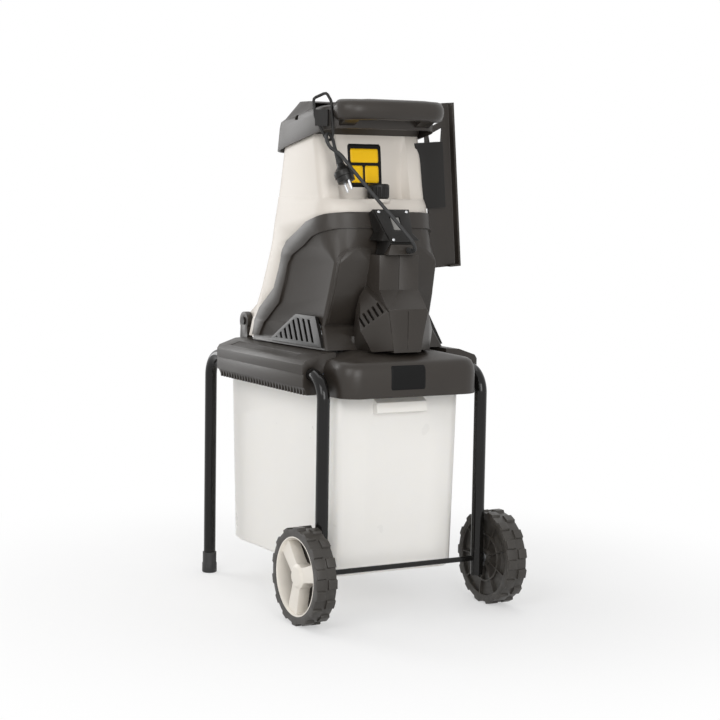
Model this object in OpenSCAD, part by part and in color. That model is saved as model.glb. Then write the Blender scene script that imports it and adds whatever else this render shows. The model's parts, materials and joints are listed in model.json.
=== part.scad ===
// Garden shredder on two wheels: a hopper hinged over a motor and a knife disc, above a slide-out box

/* [Frame] */
// Distance between the centre lines of the left and right leg tubes
track_w = 340; // [320:2:370]
// Distance from the rear legs to the front legs
leg_span = 480; // [450:5:520]
// Outside diameter of the leg tubes
tube_d = 24; // [20:1:27]
// Wall of the leg tubes
tube_wall = 1.6; // [1:0.1:3]
// Centre-line radius of the tube bends
bend_r = 44; // [38:1:60]
// Height of the level run of the tubes
run_z = 452; // [430:2:500]
// How far the rear legs reach below the axle
leg_tail = 32; // [20:1:45]
// Diameter of the rubber foot caps
foot_d = 30; // [29:0.5:36]
// Height of the rubber foot caps
foot_h = 42; // [25:1:60]

/* [Wheels] */
// Diameter of a wheel over its lugs
wheel_d = 180; // [160:5:220]
// Width of a wheel
wheel_w = 40; // [34:1:50]
// Depth of the tread lugs
lug_h = 4; // [3:0.5:6]
// Number of lugs in one row of the tread
lug_count = 14; // [10:1:18]
// Diameter of the axle rod
axle_d = 10; // [8:0.5:14]

/* [Base] */
// Height of the base's skirt below the level run of the tubes
skirt_drop = 39; // [36:1:46]
// Height of the deck above the level run of the tubes
deck_rise = 40; // [34:1:50]
// Distance of the base's rear face behind the axle
base_back = 40; // [20:1:60]
// Distance of the base's front face before the front legs
base_front = 12; // [6:1:30]
// Wall of the base
base_wall = 3.5; // [2.5:0.1:5]
// Width of one side channel round a tube
channel_w = 40; // [36:1:48]

/* [Collecting box] */
// Height of the collecting box
box_h = 348; // [300:2:360]
// Inset of the box's floor from its rim on each side
box_taper = 7; // [2:1:20]
// Wall of the collecting box
box_wall = 2.5; // [2:0.1:4]

/* [Housing] */
// Wall of the motor cover and of the hopper
shell_wall = 3.5; // [2.5:0.1:5]
// Thickness of the raised flange along the parting line
flange_lift = 5; // [2:0.5:8]
// Width of the raised flange
flange_w = 27; // [18:1:34]

/* [Drive] */
// Diameter of the motor
motor_d = 80; // [70:1:82]
// Length of the motor's field pack
motor_l = 90; // [70:1:94]
// Diameter of the motor shaft
shaft_d = 12; // [8:0.5:14]
// Diameter of the motor's belt pulley
small_pulley_d = 24; // [20:1:30]
// Diameter of the cutter's belt pulley
large_pulley_d = 72; // [60:1:80]
// Diameter of the knife disc
disc_d = 200; // [180:2:206]
// Thickness of the knife disc
disc_t = 6; // [4:0.5:8]
// Diameter of the cutter spindle
spindle_d = 16; // [12:0.5:18]

/* [Hopper] */
// Height of the hopper's neck above the deck
neck_h = 400; // [380:2:420]
// Diameter of the hinge pins
pin_d = 10; // [8:0.5:12]
// Diameter of the hinge lugs
lug_d = 37; // [30:1:40]
// Diameter of the lock knob
knob_d = 42; // [34:1:48]
// Height of the lock knob
knob_h = 28; // [20:1:34]
// Diameter of the lock screw
screw_d = 12; // [8:0.5:14]

/* [Plunger] */
// Length of the plunger
plunger_l = 318; // [280:2:340]
// Depth of the plunger's outer flange
plunger_d = 34; // [24:1:40]

/* [Cord] */
// Diameter of the mains cord
cord_d = 6.6; // [6:0.1:8]
// Diameter of the plug
plug_d = 37; // [32:1:40]

/* [Clearances] */
// Gap between pieces that move past each other
gap = 0.4; // [0.3:0.05:0.8]
// Radial clearance of a pin or shaft that turns in its bore
run_fit = 0.05; // [0.02:0.01:0.1]
// Clearance of pieces that are fixed together
seat = 0.1; // [0.05:0.05:0.2]

/* [Hidden] */

// Frame and ground
tube_r = tube_d / 2;
wheel_r = wheel_d / 2;
axle_r = axle_d / 2;
axle_z = wheel_r;
leg_x = track_w / 2;
axle_y = (wheel_r - foot_d / 2 - leg_span) / 2;
front_y = axle_y + leg_span;
foot_floor = 6;
foot_bore_r = tube_r + seat;

// Wheels, from the leg outwards
washer_t = 2.2;
wheel_in_x = leg_x + tube_r + washer_t + gap;
wheel_out_x = wheel_in_x + wheel_w;
tread_r = wheel_r - lug_h;
tyre_in_r = tread_r - 13;
hub_r = 17;
dish = 9;
cap_out = 4;

// Base: the deck and the skirt round it
deck_z = run_z + deck_rise;
skirt_z = run_z - skirt_drop;
base_w = track_w / 2 - tube_r - 11;
base_y0 = axle_y - base_back;
base_y1 = front_y - base_front;
base_r = 38;
channel_trim = 26;
channel_x0 = leg_x - channel_w / 2;
channel_x1 = leg_x + channel_w / 2;
channel_y0 = axle_y + bend_r + 2;
channel_y1 = front_y - bend_r - channel_trim;
channel_top = run_z + 25;
channel_low = run_z - 24;
front_gate_z = run_z - 26;

// Box and its runners
box_top = front_gate_z - 4;
box_x = base_w - base_wall - 4;
box_y0 = axle_y + 20;
box_y1 = base_y1 - 3;
runner_x = leg_x - tube_r - 2;
runner_t = 4;
rail_lip_t = 4;
box_floor_z = box_top - box_h;

// Drive, in the upper frame: y from the axle and z from the deck
motor_y = 144;
spindle_y = 270;
disc_z = 20;
belt_z = -36;
belt_h = 14;
belt_t = 3;
bridge_t = 12;
mount_z = 48;
mount_t = 8;
field_z = 82;
knife_t = 4;

// Hinge and lock, in the upper frame
hinge_y = 413;
hinge_z = 30;
lug_x0 = 118;
lug_t = 12;
ear_t = 10;
ledge_z = 280;
ledge_t = 5;
lock_y = 108;
lock_seat_z = 232;
cone_h = 5;

// Sections of the whole housing: height, rear half width, rear y, front half width, front y, rear and front radius
HOUSING = [
  [0, 128, 70, 145, 392, 6, 40],
  [38, 119, 98, 142, 381, 6, 40],
  [43, 117, 106, 141, 379, 6, 40],
  [101, 114, 86, 136, 352, 7, 38],
  [163, 110, 69, 131, 330, 9, 36],
  [190, 116, 67, 128, 324, 48, 36],
  [228, 121, 80, 126, 318, 60, 36],
  [253, 119.5, 82, 124, 314, 60, 36],
  [268, 118, 86, 122.5, 312, 57, 36],
  [ledge_z, 115, 93, 121.5, 310, 52, 34]
];
// Sections of the neck: the same, and the depth of the grooves down its rear wall
NECK = [
  [ledge_z - 12, 114, 116, 120.3, 308.8, 18, 34, 18],
  [ledge_z + 6, 114.2, 119, 120.4, 308.2, 18, 34, 19],
  [ledge_z + 20, 114.4, 123, 119.8, 305.5, 18, 34, 19],
  [neck_h - 40, 115, 135, 117.5, 296, 18, 34, 10],
  [neck_h, 115, 146, 116, 290, 17, 34, 3]
];
// Parting line of the hopper and the motor cover, from the deck up and back
PARTING = [[345, -4], [341, 6], [336, 20], [333, 41], [319, 64], [293, 86], [271, 105], [256, 145], [247, 181],
  [234, 197], [191, 219], [162, 236], [110, 252], [85, 256], [20, 262]];
far = 700;

function arc(c, r, a0, a1, n) = [for (i = [0:n]) c + r * [cos(a0 + (a1 - a0) * i / n), sin(a0 + (a1 - a0) * i / n)]];

// Rounded outline with its own half widths and radii at the rear and at the front, drawn in by inset
function outline(wr, yr, wf, yf, rr, rf, inset, groove) =
  let (a = max(rr - inset, 1), b = max(rf - inset, 1), g = groove)
  concat(
    arc([wr - inset - a, yr + inset + a], a, -90, 0, 5),
    arc([wf - inset - b, yf - inset - b], b, 0, 90, 5),
    arc([-wf + inset + b, yf - inset - b], b, 90, 180, 5),
    arc([-wr + inset + a, yr + inset + a], a, 180, 270, 5),
    g < 0 ? [] : [for (p = [[-78, 0], [-70, 1], [-57, 1], [-48, 0.7], [48, 0.7], [57, 1], [70, 1], [78, 0]])
      [p[0], yr + inset + p[1] * g]]
  );
function lift(pts, z, slope, y0) = [for (p = pts) [p[0], p[1], z + slope * (p[1] - y0)]];
function section(s, inset) =
  lift(outline(s[1], s[2], s[3], s[4], s[5], s[6], inset, len(s) > 7 ? s[7] : -1), s[0], 0, 0);

// Solid through a stack of outlines with equal point counts
module loft(rings) {
  n = len(rings[0]);
  m = len(rings);
  points = [for (r = rings) each r];
  sides = [for (i = [0:m - 2]) for (j = [0:n - 1]) let (k = (j + 1) % n, a = i * n, b = a + n)
    each [[a + j, b + j, b + k], [a + j, b + k, a + k]]];
  caps = [[for (j = [0:n - 1]) j], [for (j = [n - 1:-1:0]) (m - 1) * n + j]];
  polyhedron(points, concat(caps, sides), convexity = 10);
}

function unit(v) = v / norm(v);
function tangent(path, i) = unit(path[min(i + 1, len(path) - 1)] - path[max(i - 1, 0)]);
// Rings of an elliptical section, radii ru and rv, that follow a path and keep one axis square to ref
function tube_rings(path, ru, rv, ref, n) = [for (i = [0:len(path) - 1])
  let (t = tangent(path, i), u = unit(cross(ref, t)), v = cross(t, u))
  [for (j = [0:n - 1]) path[i] + u * ru * cos(360 * j / n) + v * rv * sin(360 * j / n)]];

// Places its children in the upper frame
module upper() {
  translate([0, axle_y, deck_z]) children();
}
// Draws its children and their mirror image on the other side
module both() {
  children();
  mirror([1, 0, 0]) children();
}
// Cylinder along X from x0 to x1
module rod_x(x0, x1, r, y, z) {
  translate([x0, y, z]) rotate([0, 90, 0]) cylinder(h = x1 - x0, r = r, $fn = 64);
}
// Profile in Y and Z, drawn out along X from x0 to x1
module across(x0, x1, points) {
  translate([x0, 0, 0]) rotate([90, 0, 90]) linear_extrude(x1 - x0) polygon(points);
}
// Profile in X and Z, drawn out along Y from y0 to y1
module along(y0, y1) {
  translate([0, y1, 0]) rotate([90, 0, 0]) linear_extrude(y1 - y0) children();
}
module pan_screw(r, h) {
  rotate_extrude($fn = 32) polygon([[0, 0], [r, 0], [r, h * 0.45], [r * 0.75, h * 0.85], [r * 0.35, h], [0, h]]);
}

// Leg frames, feet and axle

// Core of a leg frame: two legs and a level run, joined by quarter bends
module leg_core(r, tail) {
  for (end = [[axle_y, axle_z - leg_tail - tail, 1], [front_y, foot_floor + seat - tail, -1]]) {
    translate([leg_x, end[0], end[1]]) cylinder(h = run_z - bend_r - end[1], r = r, $fn = 64);
    translate([leg_x, end[0] + end[2] * bend_r, run_z - bend_r])
      rotate([90, 0, end[2] > 0 ? -90 : 90]) rotate_extrude(angle = 90, $fn = 64) translate([bend_r, 0]) circle(r);
  }
  translate([leg_x, axle_y + bend_r, run_z])
    rotate([-90, 0, 0]) cylinder(h = leg_span - 2 * bend_r, r = r, $fn = 64);
}
module leg_frame() {
  color("#141414") difference() {
    leg_core(tube_r, 0);
    leg_core(tube_r - tube_wall, 1);
    rod_x(leg_x - tube_d, leg_x + tube_d, axle_r + seat, axle_y, axle_z);
  }
}
module foot() {
  color("#1c1c1c") translate([leg_x, front_y, 0]) difference() {
    rotate_extrude($fn = 64) polygon([[0, 0], [foot_d / 2 - 1.5, 0], [foot_d / 2, 1.5], [foot_d / 2, foot_h * 0.45],
      [foot_d / 2 - 1, foot_h * 0.5], [foot_d / 2 - 1, foot_h], [0, foot_h]]);
    translate([0, 0, foot_floor]) cylinder(h = foot_h, r = foot_bore_r, $fn = 64);
  }
}
module left_leg_frame() { mirror([1, 0, 0]) leg_frame(); }
module right_leg_frame() { leg_frame(); }
module left_foot() { mirror([1, 0, 0]) foot(); }
module right_foot() { foot(); }
axle_end_x = wheel_out_x - dish;
hub_lift = 0.6;
hub_len = wheel_w - dish - 4;
cap_r = axle_d * 0.85;
module axle() {
  color("#181818") rod_x(-axle_end_x, axle_end_x, axle_r, axle_y, axle_z);
}
module axle_washers() {
  color("silver") both() difference() {
    rod_x(leg_x + tube_r + gap / 2, leg_x + tube_r + gap / 2 + washer_t, axle_d * 0.95, axle_y, axle_z);
    rod_x(leg_x, wheel_out_x, axle_r + seat, axle_y, axle_z);
  }
}
// Push-on caps that hold the wheels on the axle
module axle_caps() {
  color("silver") both() difference() {
    union() {
      rod_x(wheel_in_x + hub_lift + hub_len + gap, axle_end_x + cap_out / 2, cap_r, axle_y, axle_z);
      translate([axle_end_x + cap_out / 2, axle_y, axle_z]) rotate([0, 90, 0])
        cylinder(h = cap_out / 2, r1 = cap_r, r2 = axle_r, $fn = 48);
    }
    rod_x(axle_end_x - 5, axle_end_x, axle_r + seat, axle_y, axle_z);
  }
}

// Wheels

module on_wheel() {
  translate([wheel_in_x, axle_y, axle_z]) rotate([90, 0, 90]) children();
}
lug_half = wheel_d * 0.054;
row_w = wheel_w * 0.44;
web_z = 6;
module lug_row(turn) {
  pitch = 360 / lug_count;
  difference() {
    union() {
      circle(r = tread_r, $fn = 96);
      for (i = [0:lug_count - 1])
        rotate(i * pitch + turn)
          polygon([[tyre_in_r + 4, -lug_half], [tread_r, -lug_half], [wheel_r, -lug_half + lug_h / 2],
            [wheel_r, lug_half - lug_h / 2], [tread_r, lug_half], [tyre_in_r + 4, lug_half]]);
    }
    circle(r = tyre_in_r, $fn = 96);
  }
}
module wheel() {
  color("#1e1e1e") on_wheel() difference() {
    union() {
      linear_extrude(row_w) lug_row(0);
      translate([0, 0, wheel_w - row_w]) linear_extrude(row_w) lug_row(180 / lug_count);
      difference() {
        cylinder(h = wheel_w, r = tread_r, $fn = 96);
        translate([0, 0, -1]) cylinder(h = wheel_w + 2, r = tyre_in_r, $fn = 96);
      }
      // Closed web with ribs on the side of the leg
      translate([0, 0, web_z]) cylinder(h = 4, r = tyre_in_r + 1, $fn = 96);
      translate([0, 0, hub_lift]) linear_extrude(web_z) {
        for (i = [0:8]) rotate(40 * i) translate([0, -1.25]) square([tyre_in_r + 1, 2.5]);
        difference() {
          circle(r = tyre_in_r * 0.64, $fn = 64);
          circle(r = tyre_in_r * 0.6, $fn = 64);
        }
      }
      translate([0, 0, hub_lift]) cylinder(h = hub_len, r = hub_r, $fn = 64);
    }
    translate([0, 0, -1]) cylinder(h = wheel_w + 2, r = axle_r + run_fit, $fn = 64);
  }
}
hub_bore_r = hub_r + seat;
cover_z = 12;
arm_top = wheel_w - 6;
// Deep cup with three broad arms over the axle's end, clipped into the outer side of the wheel
module hub_cover() {
  rim_r = tyre_in_r - seat;
  color("#cdc9c2") on_wheel() difference() {
    union() {
      translate([0, 0, cover_z]) difference() {
        cylinder(h = wheel_w - cover_z, r = rim_r, $fn = 96);
        translate([0, 0, -0.1]) cylinder(h = wheel_w - cover_z + 0.2, r1 = rim_r - 5, r2 = rim_r - 2, $fn = 96);
      }
      translate([0, 0, cover_z]) linear_extrude(arm_top - cover_z) for (i = [0:2]) rotate(45 + 120 * i)
        polygon([[0, -14], [hub_r + 14, -14], [rim_r - 3, -17], [rim_r - 3, 17], [hub_r + 14, 14], [0, 14]]);
      translate([0, 0, cover_z]) rotate_extrude($fn = 64) polygon([[0, 0], [hub_r + 6, 0], [hub_r + 6, arm_top - cover_z],
        [hub_r, arm_top - cover_z + 4], [0, arm_top - cover_z + 4]]);
    }
    translate([0, 0, -1]) cylinder(h = hub_len + 1.8, r = hub_bore_r, $fn = 64);
    translate([0, 0, -1]) cylinder(h = wheel_w - dish + cap_out + gap + 1, r = cap_r + gap, $fn = 64);
  }
}
module left_wheel() { mirror([1, 0, 0]) wheel(); }
module left_hub_cover() { mirror([1, 0, 0]) hub_cover(); }
module right_wheel() { wheel(); }
module right_hub_cover() { hub_cover(); }

// Base, rails and box

shoulder_s = 0.84;
shoulder_in = 13;
slope_in = 74;
lug_sink = 3.0131;
// Fall of the deck's sloping front at a distance from the axle
function deck_fall(y) = max(0, slope_in - (leg_span - base_front - y)) / (slope_in - shoulder_in)
  * (1 - shoulder_s) / 0.5 * deck_rise;
// Stack of outlines of the base, from the skirt's edge over a rounded shoulder to the deck
module base_form(inset, drop) {
  rise = deck_z - (run_z + 14);
  loft([for (s = [[0, 0], [0.5, 0], [0.66, 1.5], [0.78, 6], [shoulder_s, shoulder_in], [1, slope_in]])
    let (top = s[0] > 0, in = inset + s[1])
    lift(outline(base_w, base_y0, base_w, base_y1, base_r + s[1] * 0.4, base_r + s[1] * 0.4, in, -1),
      (top ? run_z + 14 - 14 + (s[0] - 0.5) / 0.5 * (rise + 14) : skirt_z) - drop, 0, 0)]);
}
module channel_form(inset) {
  x0 = channel_x0 - 30 + inset;
  x1 = channel_x1 - inset;
  along(channel_y0 + inset, channel_y1 - inset) polygon([[x0, run_z - inset], [x1, run_z - inset],
    [x1, channel_top - 7 - inset], [x1 - 5, channel_top - inset], [x0 + 30, deck_z - 3 - inset], [x0, deck_z - 1 - inset]]);
}
pad_y0 = channel_y0 + 60;
module base() {
  pad_slope = atan((deck_z - 3 - channel_top) / (channel_w - 5));
  color("#3a3835") difference() {
    union() {
      base_form(0, 0);
      both() channel_form(0);
      upper() both() hinge_lug();
    }
    base_form(base_wall, base_wall);
    both() channel_form(base_wall);
    // Tube seats through the end walls of the channels
    both() translate([leg_x, channel_y0 - 1, run_z]) rotate([-90, 0, 0])
      cylinder(h = channel_y1 - channel_y0 + 2, r = tube_r + seat, $fn = 64);
    // Gate for the box under the front wall, and the open sides above the rails
    translate([-base_w - 1, base_y1 - base_r - 12, skirt_z - 1])
      cube([2 * base_w + 2, base_r + 20, front_gate_z - skirt_z + 1]);
    both() translate([base_w - base_wall - 1, channel_y0 - 1, skirt_z - 1])
      cube([base_wall + 2, channel_y1 - channel_y0 + 40, run_z - skirt_z + 1]);
    // Shallow pads on the sloping tops of the channels
    both() translate([channel_x1 - 5, pad_y0, channel_top - 1.2]) rotate([0, pad_slope, 0])
      translate([-channel_w + 14, 0, 0]) cube([channel_w - 20, channel_y1 - pad_y0 - 40, 6]);
    // Outlet under the knife disc, and the motor shaft's hole
    upper() translate([0, spindle_y, -60]) cylinder(h = 80, r = disc_d / 2 + 4, $fn = 96);
    upper() translate([0, motor_y, -60]) cylinder(h = 80, r = hub_r, $fn = 48);
    upper() rod_x(-lug_x0 - lug_t - 1, lug_x0 + lug_t + 1, pin_d / 2 + seat, hinge_y, hinge_z);
  }
}
// Eye on a foot at each front corner of the deck
module hinge_lug() {
  foot_z = -deck_fall(hinge_y) - lug_sink;
  rod_x(lug_x0, lug_x0 + lug_t, lug_d / 2, hinge_y, hinge_z);
  across(lug_x0, lug_x0 + lug_t, [[hinge_y - lug_d / 2 + 2, foot_z], [hinge_y + lug_d / 2 - 2, foot_z],
    [hinge_y + lug_d / 2 - 4, hinge_z], [hinge_y - lug_d / 2 + 4, hinge_z]]);
}
rib_pitch = 12;
rail_low = box_top - runner_t - gap - rail_lip_t;
// Lower half of a side channel: it clamps the tube, and its lip carries a runner of the box
module rail() {
  color("#33312f") difference() {
    union() {
      along(channel_y0, channel_y1) polygon([[channel_x1, run_z - seat], [channel_x0 + 2, run_z - seat],
        [channel_x0 + 2, channel_low + 2], [runner_x + 2, channel_low + 2], [runner_x + 2, rail_low],
        [leg_x + 10, rail_low], [leg_x + 16, channel_low], [channel_x1 - 1.5, channel_low]]);
      along(channel_y0, channel_y1) polygon([[runner_x + 3, box_top - runner_t - gap],
        [box_x + 6, box_top - runner_t - gap], [box_x + 6, rail_low],
        [runner_x + 3, rail_low]]);
      // Row of slanting ribs under the panel
      for (y = [channel_y0 + 4:rib_pitch:channel_y1 - 8])
        across(leg_x + 8, channel_x1 - 5, [[y, box_top - runner_t - rail_lip_t], [y + 4, box_top - runner_t - rail_lip_t],
          [y + 7, channel_low + 1], [y + 3, channel_low + 1]]);
    }
    translate([leg_x, channel_y0 - 1, run_z]) rotate([-90, 0, 0])
      cylinder(h = channel_y1 - channel_y0 + 2, r = tube_r + seat, $fn = 64);
    // Weight-saving pockets on the underside
    for (y = [channel_y0 + 14, (channel_y0 + channel_y1) / 2 + 7])
      translate([leg_x + 13, y, channel_low - 1]) cube([channel_w / 2 - 17, (channel_y1 - channel_y0) / 2 - 21, 12]);
  }
}
module left_rail() { mirror([1, 0, 0]) rail(); }
module right_rail() { rail(); }
// Screws through the front and rear bends that hold the tubes in the base
module frame_screws() {
  color("silver") both() for (y = [channel_y0 + 40, channel_y1 - 40])
    translate([leg_x, y, rail_low - seat]) rotate([180, 0, 0]) pan_screw(4.5, 3);
}
// Outline of the box at height z: it tapers to the floor
function box_ring(z, inset, panel) =
  let (t = (box_top - z) / box_h * box_taper + inset, x = box_x - t, y0 = box_y0 + t * 0.7, y1 = box_y1 - t, p = panel)
  [for (q = concat(arc([x - 22, y0 + 22], 22, -90, 0, 4), [[x, y0 + 70], [x - p, y0 + 84], [x - p, y1 - 84], [x, y1 - 70]],
    arc([x - 30, y1 - 30], 30, 0, 90, 4), [[box_x * 0.55, y1], [-box_x * 0.55, y1]], arc([-x + 30, y1 - 30], 30, 90, 180, 4),
    [[-x, y1 - 70], [-x + p, y1 - 84], [-x + p, y0 + 84], [-x, y0 + 70]], arc([-x + 22, y0 + 22], 22, 180, 270, 4),
    [[-box_x * 0.5, y0], [-box_x * 0.42, y0 + p], [box_x * 0.42, y0 + p], [box_x * 0.5, y0]])) [q[0], q[1], z]];
grip_x = 54;
grip_z0 = box_top - 44;
module collecting_box() {
  crease_z = box_top - 92;
  panel_in = 1.6;
  lip_in = box_y0 + 1.2;
  color("#e6e4dc") {
    // Up the outside, over the rim and down the inside to the floor
    loft([box_ring(box_floor_z, 6, panel_in), box_ring(box_floor_z + 6, 0, panel_in), box_ring(crease_z, 0, panel_in),
      box_ring(crease_z + 8, 0, 0), box_ring(box_top, 0, 0), box_ring(box_top, box_wall, 0),
      box_ring(crease_z + 8, box_wall, 0), box_ring(crease_z, box_wall, panel_in),
      box_ring(box_floor_z + 6 + box_wall, box_wall, panel_in), box_ring(box_floor_z + box_wall, box_wall + 6, panel_in)]);
    both() translate([box_x - 1.2, channel_y0 + 6, box_top - runner_t])
      cube([runner_x - box_x + 1.2, channel_y1 - channel_y0 - 12, runner_t]);
    // Grip lip across the rear wall
    difference() {
      across(-grip_x, grip_x, [[lip_in, grip_z0 + 27.6], [box_y0 - 14, grip_z0 + 20], [box_y0 - 16, grip_z0 + 2],
        [box_y0 - 12, grip_z0], [lip_in, grip_z0]]);
      across(-grip_x + 3, grip_x - 3, [[box_y0 - 0.5, grip_z0 + 22], [box_y0 - 10.5, grip_z0 + 17],
        [box_y0 - 12.5, grip_z0 + 4], [box_y0 - 11, grip_z0 - 1], [box_y0 - 0.5, grip_z0 - 1]]);
    }
  }
}

// Motor cover

module housing_form(inset) {
  loft([for (s = HOUSING) section(s, inset)]);
}
// Everything behind and below the parting line, moved off it by shift
module behind_parting(shift) {
  across(-far, far, concat([for (p = PARTING) p + shift], [[-far, 262], [-far, -far], [345, -far]]));
}
column_x = 42;
column_y = 26;
shelf_y = -10;
shelf_z = 78;
column_top = 178;
seam_w = 1.4;
module column() {
  across(-column_x, column_x, [[column_y, column_top], [column_y, shelf_z + column_y - shelf_y], [shelf_y, shelf_z],
    [80, shelf_z], [120, column_top]]);
  along(shelf_y, 110) polygon([[-column_x + 1, shelf_z + 2], [column_x - 1, shelf_z + 2], [29, 0], [-29, 0]]);
}
// Moulding seam down the middle of the face at y, from z0 to z1
module seam(y, z0, z1) {
  translate([-seam_w / 2, y - 1, z0]) cube([seam_w, 1 + seam_w, z1 - z0]);
}
// Hooded air intake beside the lower column, with slots up its face
SCOOP_LIP = [[-44, -8, 76], [-77, 30, 38]];
SCOOP = [[-36, 86, 119], [-43, 62, 119], [-54, 62, 114], [-62, 64, 100], [-67, 68, 73], [-65, 76, 45],
  [-52, 96, 40], SCOOP_LIP[1], SCOOP_LIP[0], [-35, -8, 76], [-29, -8, 4], [-62, 14, 0.5], [-60, 86, 0.5]];
scoop_slots = 5;
module scoop() {
  difference() {
    hull() for (p = SCOOP) translate(p) cube(0.5, center = true);
    for (i = [0:scoop_slots - 1])
      translate(SCOOP_LIP[0] + (SCOOP_LIP[1] - SCOOP_LIP[0]) * (i + 0.7) / (scoop_slots + 0.7))
        rotate([0, 0, 87]) rotate([0, -34, 0]) rotate([-56, 0, 0]) translate([3, -2.5, -9]) cube([28, 5, 18]);
  }
}
// Raised panel with an arched top, beside the column
module rear_panel() {
  for (step = [0.5, 1]) intersection() {
    housing_form(-flange_lift * step);
    along(0, 130) offset(delta = -6 * step) polygon([[-column_x + 8, 42], [-column_x + 8, 190], [-52, 194], [-61, 195],
      [-72, 194], [-83, 191], [-94, 186], [-103, 179], [-108, 170], [-110, 158], [-112, 101], [-114, 42]]);
  }
}
vent_h = 56;
vent_t = 7;
// Places a trapezoid grille on the leaning side wall
module on_vent() {
  translate([-133.4, 172, 4]) rotate([0, 0, 3.6]) rotate([0, 10, 0]) rotate([90, 0, -90]) children();
}
module vent_outline(grow) {
  offset(delta = grow) polygon([[-100, 0], [92, 0], [52, vent_h], [-18, vent_h]]);
}
module vent_grille() {
  slot = 8;
  color("#2c2a28") upper() on_vent() difference() {
    translate([0, 0, -2]) linear_extrude(vent_t) vent_outline(0);
    for (i = [0:8]) translate([0, 0, -6]) linear_extrude(vent_t + 8) intersection() {
      vent_outline(-7);
      translate([-88 + i * 19, 0]) polygon([[0, -5], [slot, -5], [slot - 48, 65], [-48, 65]]);
    }
  }
}
module left_vent_grille() { vent_grille(); }
module right_vent_grille() { mirror([1, 0, 0]) vent_grille(); }
module motor_cover() {
  color("#3a3835") upper() difference() {
    union() {
      // Shell below the parting line, with a raised flange along it
      difference() {
        union() {
          intersection() {
            housing_form(0);
            behind_parting([-gap, -gap]);
          }
          intersection() {
            housing_form(-flange_lift);
            behind_parting([-gap, -gap]);
            difference() {
              across(-far, far, [[-far, 10], [far, 10], [far, far], [-far, far]]);
              behind_parting([-flange_w * 0.8, -flange_w]);
            }
          }
          column();
          both() scoop();
          both() rear_panel();
        }
        intersection() {
          housing_form(shell_wall);
          translate([-far, -far, -far]) cube([2 * far, 2 * far, far + ledge_z - 8]);
        }
        translate([0, 0, -10]) linear_extrude(14) polygon([[-115, 86], [115, 86], [132, 370], [-132, 370]]);
        // Air way down the middle of the column
        translate([-column_x + 6, 36, 6]) cube([2 * column_x - 12, 60, 150]);
      }
      both() translate([boss_at[0], boss_at[1], seat]) cylinder(h = 24, r = boss_r, $fn = 32);
      // Bracket that the lock screw seats in
      across(-24, 24, [[81.5, lock_seat_z], [lock_y + 20, lock_seat_z],
        [lock_y + 20, lock_seat_z - 12], [69, lock_seat_z - 40]]);
    }
    translate([0, lock_y, lock_seat_z - cone_h]) cylinder(h = cone_h + 0.01, r1 = screw_d / 2 - cone_h / 2 + gap * 1.5,
      r2 = screw_d / 2 + cone_h / 2 + gap * 1.5, $fn = 64);
    both() on_vent() translate([0, 0, -20]) linear_extrude(40) vent_outline(seat);
    switch_seat();
    seam(column_y, shelf_z + column_y - shelf_y, column_top + 1);
    seam(shelf_y, 6, shelf_z - 2);
  }
}
// Flat on the cover that the switch box is fixed to
module switch_seat() {
  across(-far, far, [[switch_top[0] - 20, switch_top[1] + 40], [switch_foot[0], column_top + seat / 2],
    [column_y - 60, column_top + seat / 2], [column_y - 60, switch_top[1] + 40]]);
}
// Screws up through the deck into bosses of the cover
boss_r = 6;
boss_at = [62, 84];
module cover_screws() {
  color("#2a2a2a") upper() both() translate([boss_at[0], boss_at[1], -base_wall - seat]) rotate([180, 0, 0]) pan_screw(4, 3);
}

// Motor, belt drive and cutter

module motor_mount() {
  color("#9a9a98") upper() {
    difference() {
      translate([0, 0, mount_z]) linear_extrude(mount_t) difference() {
        translate([-66, motor_y - 20]) square([132, 64]);
        translate([0, motor_y]) circle(r = 13 + seat, $fn = 48);
      }
      both() translate([58, motor_y + 36, mount_z - 1]) cylinder(h = mount_t + 2, r = 3, $fn = 24);
    }
    both() for (y = [motor_y - 12, motor_y + 16]) translate([58, y, 0]) cylinder(h = mount_z, r = 7, $fn = 32);
  }
}
module motor_field() {
  color("#8d8f92") upper() translate([0, motor_y, field_z]) difference() {
    union() {
      cylinder(h = motor_l, r = motor_d / 2, $fn = 64);
      for (a = [45:90:359]) rotate(a) translate([motor_d / 2 - 8, 0, mount_z + mount_t - field_z]) cylinder(h = 40, r = 5, $fn = 24);
    }
    translate([0, 0, -1]) cylinder(h = motor_l + 2, r = motor_d / 2 - 18, $fn = 64);
  }
}
// Copper coil heads and carbon brush holders round the commutator
module motor_brushes() {
  r = motor_d / 2 - 18;
  color("#a06a32") upper() translate([0, motor_y, field_z + motor_l]) {
    difference() {
      cylinder(h = 10, r = motor_d / 2 - 4, $fn = 64);
      translate([0, 0, -1]) cylinder(h = 12, r = r, $fn = 64);
    }
    for (a = [0, 180]) rotate(a) translate([15, -5, 10]) cube([22, 10, 9]);
  }
}
rotor_r = motor_d / 2 - 18.6;
module motor_armature() {
  color("#77736d") upper() translate([0, motor_y, 0]) {
    translate([0, 0, field_z + 6]) cylinder(h = motor_l - 12, r = rotor_r, $fn = 64);
    translate([0, 0, field_z + motor_l - 7]) cylinder(h = 28, r = 14, $fn = 48);
    translate([0, 0, belt_z - 3]) cylinder(h = field_z + motor_l + 38 - belt_z, r = shaft_d / 2, $fn = 48);
  }
}
module motor_fan() {
  color("#2b2b2b") upper() translate([0, motor_y, mount_z + mount_t + 2]) difference() {
    union() {
      cylinder(h = 3, r = rotor_r + 4, $fn = 64);
      cylinder(h = 12, r = shaft_d / 2 + 6, $fn = 48);
      for (i = [0:8]) rotate(40 * i) translate([shaft_d / 2 + 4, -1, 2]) cube([rotor_r - shaft_d / 2 - 1, 2, 10]);
    }
    translate([0, 0, -1]) cylinder(h = 20, r = shaft_d / 2 + seat, $fn = 48);
  }
}
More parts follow.
